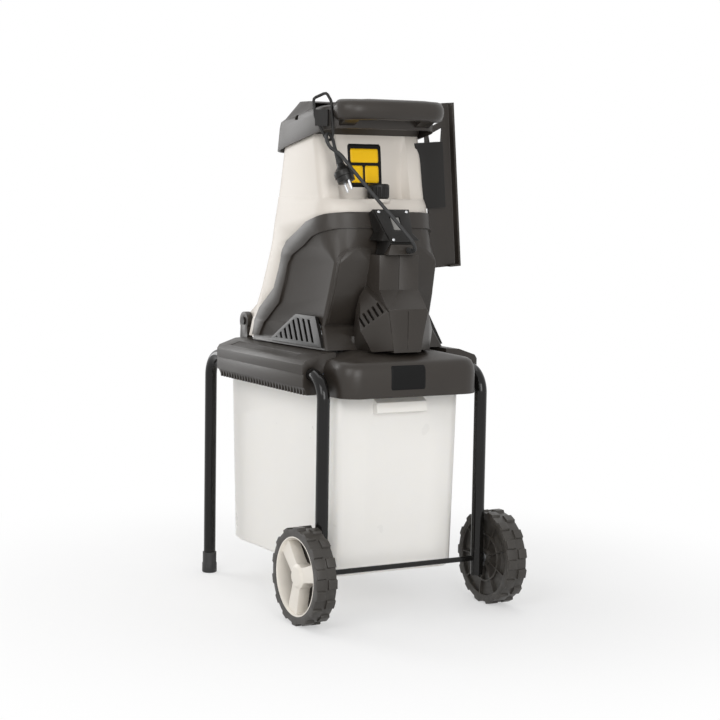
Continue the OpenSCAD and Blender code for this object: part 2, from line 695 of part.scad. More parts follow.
module ball_bearing(bore_r, outer_r, h) {
  difference() {
    cylinder(h = h, r = outer_r, $fn = 48);
    translate([0, 0, -1]) cylinder(h = h + 2, r = bore_r, $fn = 48);
    translate([0, 0, h - 0.8]) difference() {
      cylinder(h = 2, r = outer_r - 2.4, $fn = 48);
      translate([0, 0, -1]) cylinder(h = 4, r = bore_r + 2.4, $fn = 48);
    }
  }
}
module motor_bearings() {
  color("#c4c6c8") upper() translate([0, motor_y, 0]) {
    translate([0, 0, mount_z - 2]) ball_bearing(shaft_d / 2 + run_fit, 13, 10);
  }
}
// Grooved pulley for a flat toothed belt
module pulley(d, bore_r) {
  difference() {
    union() {
      cylinder(h = belt_h, r = d / 2, $fn = 64);
      for (z = [-2, belt_h]) translate([0, 0, z]) cylinder(h = 2, r = d / 2 + 3, $fn = 64);
    }
    translate([0, 0, -3]) cylinder(h = belt_h + 6, r = bore_r, $fn = 48);
  }
}
module motor_pulley() {
  color("#7f8286") upper() translate([0, motor_y, belt_z]) pulley(small_pulley_d, shaft_d / 2 + seat);
}
module cutter_pulley() {
  color("#7f8286") upper() translate([0, spindle_y, belt_z]) pulley(large_pulley_d, spindle_d / 2 + seat);
}
// Belt round both pulleys: two arcs and the two straight runs that touch them
module belt_loop(grow) {
  c = spindle_y - motor_y;
  r0 = small_pulley_d / 2 + grow;
  r1 = large_pulley_d / 2 + grow;
  a = asin((r1 - r0) / c);
  polygon(concat(arc([0, motor_y], r0, 180 + a, 360 - a, 16), arc([0, spindle_y], r1, -a, 180 + a, 32)));
}
module drive_belt() {
  color("#151515") upper() translate([0, 0, belt_z + 0.8]) linear_extrude(belt_h - 1.6) difference() {
    belt_loop(gap + belt_t);
    belt_loop(gap);
  }
}
// Trough that closes the belt off from the falling chips
cover_gap = 10;
module belt_cover() {
  color("#2f2d2b") upper() difference() {
    translate([0, 0, belt_z - 10]) linear_extrude(-bridge_t - belt_z + 10 - seat) belt_loop(belt_t + cover_gap);
    translate([0, 0, belt_z - 7.5]) linear_extrude(60) belt_loop(belt_t + cover_gap - 2.5);
  }
}
bearing_r = 20;
// Cast arm across the outlet, with a boss for the spindle's bearings
module bearing_bridge() {
  color("#a2a3a3") upper() difference() {
    union() {
      translate([0, 0, -bridge_t]) linear_extrude(bridge_t - base_wall - seat) difference() {
        union() {
          belt_loop(belt_t + cover_gap);
          translate([-24, motor_y - 36]) square([48, disc_d + 72]);
        }
        translate([0, motor_y]) circle(r = shaft_d / 2 + 4, $fn = 48);
      }
      translate([0, spindle_y, -bridge_t]) cylinder(h = bridge_t + 8, r = bearing_r + 5, $fn = 64);
    }
    translate([0, spindle_y, -bridge_t - 1]) cylinder(h = 60, r = bearing_r + seat, $fn = 64);
  }
}
module spindle_bearings() {
  color("#c4c6c8") upper() translate([0, spindle_y, -bridge_t])
    for (z = [0, bridge_t + 8 - 9]) translate([0, 0, z]) ball_bearing(spindle_d / 2 + run_fit, bearing_r, 9);
}
module cutter_spindle() {
  color("#8a8c8f") upper() translate([0, spindle_y, 0]) {
    translate([0, 0, belt_z - 4]) cylinder(h = disc_z + disc_t + 14 - belt_z, r = spindle_d / 2, $fn = 48);
    translate([0, 0, 8.4]) cylinder(h = disc_z - 8.4 - seat, r = spindle_d / 2 + 5, $fn = 48);
  }
}
knife_r = disc_d * 0.29;
module knife_disc() {
  color("#6f7276") upper() translate([0, spindle_y, disc_z]) difference() {
    cylinder(h = disc_t, r = disc_d / 2, $fn = 96);
    translate([0, 0, -1]) cylinder(h = disc_t + 2, r = spindle_d / 2 + seat, $fn = 48);
    // Slots that pass the chips under the knives
    for (a = [0, 180]) rotate(a) translate([disc_d * 0.14, 12, -1]) cube([disc_d * 0.3, 10, disc_t + 2]);
    for (a = [0, 180]) rotate(a) for (x = [-20, 20]) translate([knife_r + x, 0, -1]) cylinder(h = disc_t + 2, r = 3.1, $fn = 24);
  }
}
module knives() {
  color("#b9bcc0") upper() translate([0, spindle_y, disc_z + disc_t]) for (a = [0, 180]) rotate(a) difference() {
    translate([knife_r - disc_d * 0.16, 0, 0]) rotate([90, 0, 90]) linear_extrude(disc_d * 0.32)
      polygon([[-12, 0], [16, 0], [11, knife_t], [-12, knife_t]]);
    for (x = [-20, 20]) translate([knife_r + x, 0, -1]) cylinder(h = knife_t + 2, r = 3.1, $fn = 24);
  }
}
module knife_screws() {
  color("#55585c") upper() translate([0, spindle_y, disc_z]) for (a = [0, 180]) rotate(a) for (x = [-20, 20])
    translate([knife_r + x, 0, 0]) {
      cylinder(h = disc_t + knife_t, r = 3, $fn = 24);
      translate([0, 0, disc_t + knife_t]) cylinder(h = 2.5, r = 5.2, $fn = 24);
    }
}
module disc_nut() {
  color("#a5a8ab") upper() translate([0, spindle_y, disc_z + disc_t]) difference() {
    union() {
      cylinder(h = 2, r = spindle_d / 2 + 7, $fn = 48);
      cylinder(h = 11, r = spindle_d / 2 + 5, $fn = 6);
    }
    translate([0, 0, -1]) cylinder(h = 20, r = spindle_d / 2 + seat, $fn = 48);
  }
}

// Switch and cord inlet

switch_top = [61, 262];
switch_foot = [17, 200];
switch_slope = atan2(switch_top[1] - switch_foot[1], switch_top[0] - switch_foot[0]);
switch_len = norm(switch_top - switch_foot);
plate_t = 3;
// Places its children on the sloping face: x across, y up the slope, z out of the face
module on_switch() {
  translate([0, switch_foot[0], switch_foot[1]]) rotate([switch_slope, 0, 0]) children();
}
module switch_box() {
  color("#1d1c1b") upper() difference() {
    intersection() {
      across(-46, 46, [switch_top, switch_foot, [switch_foot[0] + 14, column_top + seat], [96, column_top + seat],
        [96, 246]]);
      union() {
        along(-100, 200) polygon([[-31, column_top], [31, column_top], [25, switch_foot[1]], [40, switch_top[1]],
          [-40, switch_top[1]], [-25, switch_foot[1]]]);
        // Sloping flaps beside the box
        both() along(-100, 200) polygon([[-24, 227], [-41, 205], [-24, 205]]);
      }
    }
    housing_form(-flange_lift - seat);
    on_switch() translate([0, 42, -16]) linear_extrude(30) rocker_shape(seat * 3);
  }
}
module rocker_shape(grow) {
  offset(delta = grow) polygon([[-9, -15], [9, -15], [11, 15], [-11, 15]]);
}
module switch_plate() {
  color("#1a1918") upper() on_switch() difference() {
    linear_extrude(plate_t) polygon([[-24, 1], [24, 1], [38, switch_len - 2], [-38, switch_len - 2]]);
    translate([0, 42, -1]) linear_extrude(plate_t + 2) rocker_shape(seat * 3);
  }
}
module rocker_switch() {
  color("#3b3a39") upper() on_switch() difference() {
    union() {
      translate([-8.6, 28.4, -7]) cube([17.2, 27.2, 10]);
      translate([-8.6, 42, -4]) rotate([0, 90, 0]) cylinder(h = 17.2, r = 6, $fn = 32);
    }
    for (s = [-1, 1]) translate([-12, 42, 3]) rotate([s * 9, 0, 0]) translate([0, s > 0 ? 0 : -20, 0]) cube([24, 20, 10]);
    for (s = [-1, 1]) translate([-12, 42 + s * 12, -8]) rotate([s * 20, 0, 0]) translate([0, s > 0 ? 0 : -8, -10]) cube([24, 8, 14]);
  }
}
module switch_screws() {
  color("#c8c8c8") upper() on_switch() for (p = [[-30, switch_len - 8], [30, switch_len - 8], [-18, 6], [18, 6]])
    translate([p[0], p[1], plate_t]) pan_screw(3, 2);
}
gland_x = 12;
// Block under the plate that clamps the cord
module cord_clamp() {
  color("#181716") upper() difference() {
    hull() {
      translate([-25, switch_foot[0] - 3, switch_foot[1] - 3]) cube([50, 2, 1]);
      translate([-31, 12, column_top + 1]) cube([62, 2, 1]);
      translate([-31, switch_foot[0] + 12 - seat, column_top + 1]) cube([62, 1, 1]);
    }
    across(-46, 46, [switch_top, switch_foot, [switch_foot[0] + 14, column_top], [96, column_top], [96, 246]]);
    translate([gland_x, -20, column_top + 9]) rotate([-90, 0, 0]) cylinder(h = 60, r = cord_d / 2 + 2.5, $fn = 48);
  }
}
// Bushing round the cord where it leaves the clamp
module cord_gland() {
  color("#141414") upper() translate([gland_x, 20, column_top + 9]) rotate([90, 0, 0]) difference() {
    union() {
      cylinder(h = 10, r = cord_d / 2 + 2.4, $fn = 48);
      translate([0, 0, 10]) cylinder(h = 12, r1 = cord_d / 2 + 2.4, r2 = cord_d / 2 + 1.1, $fn = 48);
    }
    translate([0, 0, -1]) cylinder(h = 60, r = cord_d / 2 + seat, $fn = 48);
  }
}

// Hopper

module neck_form(inset) {
  loft(concat([for (s = NECK) section(s, inset)],
    inset > 0 ? [section(concat(neck_h + 1, [for (i = [1:7]) NECK[len(NECK) - 1][i]]), inset)] : []));
}
module hopper() {
  color("#dcd6cc") upper() difference() {
    union() {
      difference() {
        housing_form(0);
        behind_parting([gap, gap]);
      }
      neck_form(0);
      both() ear();
      // Pad under the lock knob
      translate([0, lock_y, ledge_z - 6]) cylinder(h = 6.5, r = knob_d / 2 + 3, $fn = 64);
    }
    difference() {
      housing_form(shell_wall);
      across(-far, far, [[-far, ledge_z - ledge_t], [far, ledge_z - ledge_t], [far, far], [-far, far]]);
    }
    neck_form(shell_wall);
    translate([-far, -far, -50]) cube([2 * far, 2 * far, 56]);
    translate([0, lock_y, 200]) cylinder(h = 100, r = screw_d / 2 + run_fit, $fn = 64);
    rod_x(-lug_x0, lug_x0, pin_d / 2 + run_fit, hinge_y, hinge_z);
  }
}
ear_x1 = lug_x0 - gap;
// Arm from the front wall to the hinge
module ear() {
  rod_x(ear_x1 - ear_t, ear_x1, lug_d / 2 - 3, hinge_y, hinge_z);
  across(ear_x1 - ear_t, ear_x1, [[hinge_y, hinge_z - lug_d / 2 + 3], [hinge_y, hinge_z + lug_d / 2 - 3], [366, 74], [378, 14]]);
}
module hinge_pins() {
  color("#c0c0c0") upper() both() {
    rod_x(ear_x1 - ear_t - 2, lug_x0 + lug_t, pin_d / 2, hinge_y, hinge_z);
    rod_x(lug_x0 + lug_t, lug_x0 + lug_t + 3, pin_d * 0.75, hinge_y, hinge_z);
  }
}
// Throat that leads the feed from the neck down to the knife disc
CHUTE = [[38, 62, 206, 62, 334, 16, 16], [120, 66, 199, 66, 316, 16, 18], [220, 96, 181, 100, 304, 20, 24],
  [ledge_z - ledge_t - seat, 111.2, 117.5, 117.8, 306, 22, 33]];
module feed_chute() {
  color("#55524e") upper() difference() {
    loft([for (s = CHUTE) section(s, 0)]);
    loft([for (s = concat([[34, 62, 206, 62, 334, 16, 16]], CHUTE, [[ledge_z, 111.6, 117, 118.3, 306.5, 22, 33]])) section(s, 3)]);
  }
}
rim_w = 122;
rim_y0 = 88;
rim_drop = -0.204;
rim_top_drop = -0.15;
function rim_ring(w, y0, y1, z, slope, inset) = lift(outline(w, y0, w, y1, 36, 32, inset, -1), z, slope, rim_y0);
module rim_form(inset, top) {
  loft([rim_ring(rim_w, rim_y0, 313, neck_h + 11 - abs(inset), rim_drop, inset),
    rim_ring(rim_w, rim_y0, 305, neck_h + 41, rim_top_drop, inset),
    rim_ring(rim_w - 1, rim_y0 + 1, 302, neck_h + 52 - top, rim_top_drop, inset),
    rim_ring(rim_w - 5, rim_y0 + 5, 296, neck_h + 56 - top, rim_top_drop, inset)]);
}
// Sides of the feed opening, from the rim's top down to the neck
module funnel_form(inset, over) {
  loft([lift(outline(115, 146, 116, 290, 18, 34, inset, -1), neck_h + seat - (inset > 0 ? 1 : 0), 0, 0),
    rim_ring(114, 98, 290, neck_h + 55 + over, rim_top_drop, inset)]);
}
module hopper_rim() {
  color("#3d3b38") upper() difference() {
    union() {
      difference() {
        rim_form(0, 0);
        rim_form(shell_wall, shell_wall);
        translate([0, 0, -shell_wall]) rim_form(shell_wall, shell_wall);
      }
      funnel_form(0, 0);
    }
    funnel_form(shell_wall, 3);
    // Small slots in both sides
    both() translate([rim_w - 10, 206, neck_h + 27]) cube([20, 12, 9]);
  }
}
guard_z = neck_h + 64;
// Visor over the front part of the feed opening, open to the rear
module guard_form(inset, drop) {
  loft([rim_ring(rim_w - 6, rim_y0 + 6, 295, neck_h + 56 + seat - drop, rim_top_drop, inset),
    lift(outline(86, 150, 86, 284, 10, 24, inset, -1), guard_z - inset, 0, 0)]);
}
module chip_guard() {
  color("#3d3b38") upper() difference() {
    guard_form(0, 0);
    guard_form(shell_wall, 6);
    across(-far, far, [[-far, neck_h], [130, neck_h], [248, neck_h + 80], [-far, neck_h + 80]]);
  }
}
// Grip across the rear, with its ends turned in to the rim
handle_z = neck_h + 44;
HANDLE = concat([[-91, 96, handle_z]], [for (a = [170:20:250]) [-62 + 40 * cos(a), 72 + 28 * sin(a), handle_z]],
  [for (x = [-60, -30, 0, 30, 60]) [x, 42 + x * x / 900, handle_z + 1]],
  [for (a = [290:20:370]) [62 + 40 * cos(a), 72 + 28 * sin(a), handle_z]], [[91, 96, handle_z]]);
module rear_handle() {
  color("#2d2b29") upper() {
    difference() {
      union() {
        loft(tube_rings(HANDLE, 13, 19, [0, 0, 1], 16));
        both() across(66, 97, [[62, 428], [100, 410], [100, handle_z + 6], [62, handle_z + 6]]);
      }
      rim_form(-seat, -4);
    }
  }
}
module lock_knob() {
  color("#1a1a1a") upper() translate([0, lock_y, ledge_z + 0.5 + gap]) difference() {
    rotate_extrude($fn = 64) polygon([[0, 0], [knob_d / 2 - 3, 0], [knob_d / 2, 3], [knob_d / 2, knob_h - 3],
      [knob_d / 2 - 3, knob_h], [0, knob_h]]);
    for (i = [0:15]) rotate(22.5 * i) translate([knob_d / 2 + 1.2, 0, -1]) cylinder(h = knob_h - 5, r = 3, $fn = 24);
    translate([0, 0, -1]) cylinder(h = knob_h - 8, r = screw_d / 2 + seat, $fn = 48);
  }
}
module lock_screw() {
  top = ledge_z + 0.5 + gap + knob_h - 10;
  color("#b5b5b5") upper() translate([0, lock_y, lock_seat_z - cone_h]) rotate_extrude($fn = 64)
    polygon([[0, gap], [screw_d / 2 - cone_h, gap], [screw_d / 2, cone_h + gap], [screw_d / 2, top - lock_seat_z + cone_h],
      [0, top - lock_seat_z + cone_h]]);
}

// Plunger on the right side of the hopper

plunger_y = 152;
plunger_rise = 68;
plunger_lean = 4.4;
// Places its children at the plunger's top outer corner: x outwards, z up along its length
module on_plunger() {
  translate([182, plunger_y, neck_h + plunger_rise]) rotate([0, -plunger_lean, 0]) children();
}
web_t = 5;
web_in = 60;
module plunger() {
  color("#343230") upper() on_plunger() difference() {
    union() {
      // Web with its hand hole, and a flange along the outer edge
      along(-web_t / 2, web_t / 2) polygon([[0, 0], [-19, 0], [-19, -34], [-web_in + 2, -50], [-web_in, -56],
        [-web_in, -plunger_l], [0, -plunger_l]]);
      translate([-4, -plunger_d / 2, -plunger_l]) cube([4, plunger_d, plunger_l]);
      translate([-24, -plunger_d / 2, -plunger_l]) cube([24, plunger_d, 4]);
    }
    along(-web_t, web_t) polygon([[-52, -60], [-20, -47], [-24, -78], [-49, -82]]);
  }
}
HOLDER_Z = [-201, -74];
holder_in = 90;
// Bracket on the hopper's side that the plunger hangs in
module plunger_holder() {
  color("#2b2a28") upper() difference() {
    on_plunger() translate([-holder_in, 0, HOLDER_Z[0]]) difference() {
      translate([0, -12, 0]) cube([holder_in - 26, 24, HOLDER_Z[1] - HOLDER_Z[0]]);
      translate([holder_in - web_in - gap, -web_t / 2 - gap, -1])
        cube([web_in, web_t + 2 * gap, HOLDER_Z[1] - HOLDER_Z[0] + 2]);
    }
    housing_form(-seat);
    neck_form(-seat);
  }
}

// Hook, cord and plug

hook_u = [0.7071, -0.7071, 0];
hook_c = [-114.5, 95.5, 0];
// Corners of the hook's loop: across the corner of the rim, and up from the deck
HOOK = [[-31, 464], [-6, 475], [4, 459], [8, 398], [4, 388], [-4, 388], [-16, 410], [-27, 430]];
hook_r = 2.8;
hook_round = 5;
function hook_point(p) = [hook_c[0] + hook_u[0] * p[0], hook_c[1] + hook_u[1] * p[0], p[1]];
// Corner i of the loop, rounded by three points of a quadratic curve
function hook_corner(i) =
  let (n = len(HOOK), b = HOOK[i], a = HOOK[(i + n - 1) % n], c = HOOK[(i + 1) % n],
    p = b + unit(a - b) * min(hook_round, norm(a - b) / 2.2), q = b + unit(c - b) * min(hook_round, norm(c - b) / 2.2))
  [p, (p + 2 * b + q) / 4, q];
// Closed tube of radius r along a loop of points
module closed_tube(path, r, ref, n) {
  m = len(path);
  points = [for (i = [0:m - 1])
    let (t = unit(path[(i + 1) % m] - path[(i + m - 1) % m]), u = unit(cross(ref, t)), v = cross(t, u))
    each [for (j = [0:n - 1]) path[i] + r * (u * cos(360 * j / n) + v * sin(360 * j / n))]];
  polyhedron(points, [for (i = [0:m - 1]) for (j = [0:n - 1])
    let (k = (j + 1) % n, a = i * n, b = ((i + 1) % m) * n)
    each [[a + j, b + j, b + k], [a + j, b + k, a + k]]], convexity = 10);
}
module cord_hook() {
  loop = [for (i = [0:len(HOOK) - 1]) each hook_corner(i)];
  color("#1b1b1b") upper() {
    closed_tube([for (p = loop) hook_point(p)], hook_r, [hook_u[1], -hook_u[0], 0], 10);
    // Clip that holds the loop on the rim's corner
    difference() {
      translate([hook_c[0], hook_c[1], 414]) rotate([0, 0, -45]) translate([-26, -4, 0]) cube([24, 14, 30]);
      rim_form(-seat, 0);
    }
  }
}
// Route of the cord, from the gland over the hook's bar to the plug
CORD = [[12, 20, 187], [12, 8, 187], [12, -5, 187], [9, -14, 193], [1, -17, 205], [-9, -12, 219], [-18, -4, 233],
  [-28, 6, 249], [-40, 18, 267], [-52, 29, 285], [-64, 41, 304], [-76, 53, 323], [-88, 64, 342], [-100, 75.3, 361],
  [-111, 79, 369], [-119.6, 79.6, 374.5], [-125.2, 83.1, 385.7], [-122.4, 90.5, 395.7], [-114.4, 98.4, 399.2],
  [-105.6, 103.9, 395.7], [-100.1, 105.3, 387.2], [-98.6, 102.6, 376], [-96.8, 98.9, 366.9]];
relief_d = CORD[len(CORD) - 1] - CORD[len(CORD) - 2];
module power_cord() {
  color("#161616") upper() loft(tube_rings(CORD, cord_d / 2, cord_d / 2, hook_u, 10));
}
// Places its children on the plug's axis, with z along it from the cord's end
module on_plug() {
  d = unit(relief_d);
  translate(CORD[len(CORD) - 1]) rotate([0, acos(d[2]), atan2(d[1], d[0])]) children();
}
relief_l = 24;
module plug_relief() {
  color("#161616") upper() on_plug() difference() {
    rotate_extrude($fn = 32) polygon(concat([[0, 0]], [for (i = [0:5]) each [[cord_d / 2 + 1 + i * 0.5, i * 4],
      [cord_d / 2 + 1.4 + i * 0.5, i * 4 + 2.4], [cord_d / 2 + 0.4 + i * 0.5, i * 4 + 2.6],
      [cord_d / 2 + 0.4 + i * 0.5, i * 4 + 3.9]]], [[0, relief_l]]));
    translate([0, 0, -1]) cylinder(h = 1 + seat, r = cord_d, $fn = 24);
  }
}
plug_l = 36;
module plug() {
  color("#1a1a1a") upper() on_plug() translate([0, 0, relief_l]) rotate_extrude($fn = 48)
    polygon([[0, 0], [7, 0], [9, 6], [plug_d / 2 - 3, 13], [plug_d / 2, 16], [plug_d / 2, 26], [plug_d / 2 - 2, 27],
      [plug_d / 2 - 2, plug_l], [0, plug_l]]);
}
module plug_pins() {
  color("#c9c9c9") upper() on_plug() translate([0, 0, relief_l + plug_l]) rotate(30) for (x = [-9.5, 9.5])
    translate([x, 0, 0]) {
      cylinder(h = 16, r = 2.4, $fn = 24);
      translate([0, 0, 16]) cylinder(h = 2.5, r1 = 2.4, r2 = 1.4, $fn = 24);
    }
}

left_leg_frame();
right_leg_frame();
left_foot();
right_foot();
axle();
axle_washers();
axle_caps();
left_wheel();
left_hub_cover();
right_wheel();
right_hub_cover();
base();
left_rail();
right_rail();
frame_screws();
collecting_box();
motor_cover();
left_vent_grille();
right_vent_grille();
cover_screws();
motor_mount();
motor_field();
motor_brushes();
motor_armature();
motor_fan();
motor_bearings();
motor_pulley();
drive_belt();
cutter_pulley();
bearing_bridge();
spindle_bearings();
cutter_spindle();
knife_disc();
knives();
knife_screws();
disc_nut();
belt_cover();
switch_box();
switch_plate();
rocker_switch();
switch_screws();
cord_clamp();
cord_gland();
hopper();
feed_chute();
hopper_rim();
chip_guard();
rear_handle();
hinge_pins();
lock_knob();
lock_screw();
plunger_holder();
plunger();
cord_hook();
power_cord();
plug_relief();
plug();
plug_pins();
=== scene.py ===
"""Garden shredder: cord, finishes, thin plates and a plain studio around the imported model."""

import json
import math

import bpy
from mathutils import Matrix, Vector
from mathutils.bvhtree import BVHTree


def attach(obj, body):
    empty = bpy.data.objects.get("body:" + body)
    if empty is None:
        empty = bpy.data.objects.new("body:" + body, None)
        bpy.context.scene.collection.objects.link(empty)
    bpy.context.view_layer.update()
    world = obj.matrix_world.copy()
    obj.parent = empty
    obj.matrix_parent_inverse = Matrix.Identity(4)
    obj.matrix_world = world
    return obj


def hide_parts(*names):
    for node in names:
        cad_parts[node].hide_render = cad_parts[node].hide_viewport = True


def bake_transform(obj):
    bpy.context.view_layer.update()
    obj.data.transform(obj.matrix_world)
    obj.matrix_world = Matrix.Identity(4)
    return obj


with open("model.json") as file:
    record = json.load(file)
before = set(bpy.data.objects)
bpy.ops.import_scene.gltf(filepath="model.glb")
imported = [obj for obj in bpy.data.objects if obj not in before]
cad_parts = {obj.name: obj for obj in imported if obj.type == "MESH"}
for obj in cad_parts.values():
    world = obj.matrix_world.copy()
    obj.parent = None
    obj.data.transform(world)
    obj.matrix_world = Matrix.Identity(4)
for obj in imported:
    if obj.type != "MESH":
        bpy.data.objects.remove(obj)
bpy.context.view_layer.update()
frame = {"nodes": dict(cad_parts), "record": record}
nodes = frame["nodes"]
scene = bpy.context.scene
scene.view_settings.view_transform = "Standard"

MM_PER_M = 1000

# The upper works are drawn from the wheel axle and the top of the deck
AXLE_Y = -0.2025
DECK_Z = 0.492


def upper(x, y, z):
    """Point of the upper works, given in millimetres, as a point of the whole object in metres."""
    return Vector((x / MM_PER_M, y / MM_PER_M + AXLE_Y, z / MM_PER_M + DECK_Z))


# Camera

CAMERA_AT = (-1.7453, -3.0942, 0.8112)
CAMERA_HEADING = math.radians(29.711)
CAMERA_PITCH = math.radians(5.673)
CAMERA_ROLL = math.radians(0.935)
CAMERA_LENS = 91.575
CAMERA_SENSOR = 36


def place_camera():
    """Camera turned by its heading from the y axis, then pitched down and rolled."""
    forward = Vector((
        math.sin(CAMERA_HEADING) * math.cos(CAMERA_PITCH),
        math.cos(CAMERA_HEADING) * math.cos(CAMERA_PITCH),
        -math.sin(CAMERA_PITCH),
    ))
    level = Vector((math.cos(CAMERA_HEADING), -math.sin(CAMERA_HEADING), 0))
    upright = level.cross(forward)
    side = level * math.cos(CAMERA_ROLL) + upright * math.sin(CAMERA_ROLL)
    top = upright * math.cos(CAMERA_ROLL) - level * math.sin(CAMERA_ROLL)
    data = bpy.data.cameras.new("camera")
    data.sensor_width = CAMERA_SENSOR
    data.lens = CAMERA_LENS
    camera = bpy.data.objects.new("camera", data)
    turn = Matrix((side, top, -forward)).transposed().to_4x4()
    camera.matrix_world = Matrix.Translation(CAMERA_AT) @ turn
    scene.collection.objects.link(camera)
    scene.camera = camera


place_camera()

# Mesh helpers


def shade_smooth(mesh):
    mesh.polygons.foreach_set("use_smooth", [True] * len(mesh.polygons))


def new_piece(name, verts, faces, body=None):
    """Smooth mesh object, which rides on a body where one is named."""
    mesh = bpy.data.meshes.new(name)
    mesh.from_pydata([tuple(v) for v in verts], [], faces)
    mesh.validate()
    shade_smooth(mesh)
    piece = bpy.data.objects.new(name, mesh)
    scene.collection.objects.link(piece)
    if body:
        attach(piece, body)
    return piece


def smooth_line(points, steps):
    """Catmull-Rom curve through the points, with a number of steps between each pair."""
    ends = [points[0] * 2 - points[1]] + list(points) + [points[-1] * 2 - points[-2]]
    line = []
    for a, b, c, d in zip(ends, ends[1:], ends[2:], ends[3:]):
        square = 2 * a - 5 * b + 4 * c - d
        cube = 3 * b - a - 3 * c + d
        for i in range(steps):
            t = i / steps
            line.append(0.5 * (2 * b + (c - a) * t + square * t**2 + cube * t**3))
    return line + [points[-1].copy()]


def tube(name, line, radius, sides):
    """Round tube along a line of points, closed at both ends."""
    verts, faces = [], []
    across = None
    for i, point in enumerate(line):
        along = (line[min(i + 1, len(line) - 1)] - line[max(i - 1, 0)]).normalized()
        if across is None:
            across = along.orthogonal().normalized()
        across = (across - along * across.dot(along)).normalized()
        third = along.cross(across)
        for j in range(sides):
            turn = 2 * math.pi * j / sides
            verts.append(point + radius * (across * math.cos(turn) + third * math.sin(turn)))
    for i in range(len(line) - 1):
        for j in range(sides):
            k = (j + 1) % sides
            faces.append((i * sides + j, i * sides + k, (i + 1) * sides + k, (i + 1) * sides + j))
    faces.append(tuple(reversed(range(sides))))
    last = (len(line) - 1) * sides
    faces.append(tuple(last + j for j in range(sides)))
    return new_piece(name, verts, faces)


# Cord, from the gland under the switch up to the hook on the hopper

CORD_D = 0.0066
CORD_STEPS = 6
CORD_SIDES = 20
CORD_ROUTE = (
    (12, 20, 187), (12, 8, 187), (12, -5, 187), (9, -14, 193), (1, -17, 205), (-9, -12, 219),
    (-18, -4, 233), (-28, 6, 249), (-40, 18, 267), (-52, 29, 285), (-64, 41, 304), (-76, 53, 323),
    (-88, 64, 342), (-100, 75.3, 361), (-111, 79, 369), (-119.6, 79.6, 374.5),
    (-125.2, 83.1, 385.7), (-122.4, 90.5, 395.7), (-114.4, 98.4, 399.2), (-105.6, 103.9, 395.7),
    (-100.1, 105.3, 387.2), (-98.6, 102.6, 376), (-96.8, 98.9, 366.9),
)


def lay_cord():
    """Cord laid from the chassis up to the hopper, with the plug at its far end."""
    line = smooth_line([upper(*p) for p in CORD_ROUTE], CORD_STEPS)
    cord = tube("cord", line, CORD_D / 2, CORD_SIDES)
    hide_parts("power_cord")
    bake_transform(cord)
    return cord


cord = lay_cord()

# Shader helpers

FLOAT = "NodeSocketFloat"


def socket_group(name, inputs, outputs):
    """Shader group with named number sockets, as its tree, its start and its end."""
    tree = bpy.data.node_groups.new(name, "ShaderNodeTree")
    for label, value in inputs.items():
        socket = tree.interface.new_socket(label, in_out="INPUT", socket_type=FLOAT)
        socket.default_value = value
    for label in outputs:
        tree.interface.new_socket(label, in_out="OUTPUT", socket_type=FLOAT)
    return tree, tree.nodes.new("NodeGroupInput"), tree.nodes.new("NodeGroupOutput")


def add(tree, kind, **settings):
    node = tree.nodes.new(kind)
    for name, value in settings.items():
        setattr(node, name, value)
    return node


def ramp(tree, low, high):
    """Soft step from 0 at the low value to 1 at the high one."""
    node = add(tree, "ShaderNodeMapRange", interpolation_type="SMOOTHSTEP")
    node.inputs["From Min"].default_value = low
    node.inputs["From Max"].default_value = high
    return node


def noise(tree, detail, scale=None):
    """Noise texture, with its scale left to a link where none is given."""
    node = add(tree, "ShaderNodeTexNoise")
    node.inputs["Detail"].default_value = detail
    if scale is not None:
        node.inputs["Scale"].default_value = scale
    return node


def scaled_mask(tree, first, second, amount):
    """Product of two masks, scaled by an amount and kept between 0 and 1."""
    product = add(tree, "ShaderNodeMath", operation="MULTIPLY")
    scaled = add(tree, "ShaderNodeMath", operation="MULTIPLY", use_clamp=True)
    tree.links.new(first, product.inputs[0])
    tree.links.new(second, product.inputs[1])
    tree.links.new(product.outputs[0], scaled.inputs[0])
    tree.links.new(amount, scaled.inputs[1])
    return scaled.outputs[0]


# Shader groups

PLASTIC_GRAIN = 900.0
METAL_LINES = 300.0
PEBBLE_SHARE = 0.6
WEAR_RADIUS = 0.0018
WEAR_SAMPLES = 4
LINE_STRETCH = (1, 1, 0.04)


def grain_group():
    """Fine pebbled grain of a moulded face, with slow patches that change the gloss."""
    outputs = ("Height", "Patches")
    tree, start, end = socket_group("moulded_grain", {"Scale": PLASTIC_GRAIN}, outputs)
    place = add(tree, "ShaderNodeTexCoord")
    pebble = add(tree, "ShaderNodeTexVoronoi", feature="SMOOTH_F1")
    fine = noise(tree, detail=3)
    slow = noise(tree, detail=4, scale=14)
    both = add(tree, "ShaderNodeMath", operation="MULTIPLY_ADD")
    both.inputs[1].default_value = PEBBLE_SHARE
    for node in (pebble, fine, slow):
        tree.links.new(place.outputs["Object"], node.inputs["Vector"])
    for node in (pebble, fine):
        tree.links.new(start.outputs["Scale"], node.inputs["Scale"])
    tree.links.new(pebble.outputs["Distance"], both.inputs[0])
    tree.links.new(fine.outputs["Fac"], both.inputs[2])
    tree.links.new(both.outputs[0], end.inputs["Height"])
    tree.links.new(slow.outputs["Fac"], end.inputs["Patches"])
    return tree


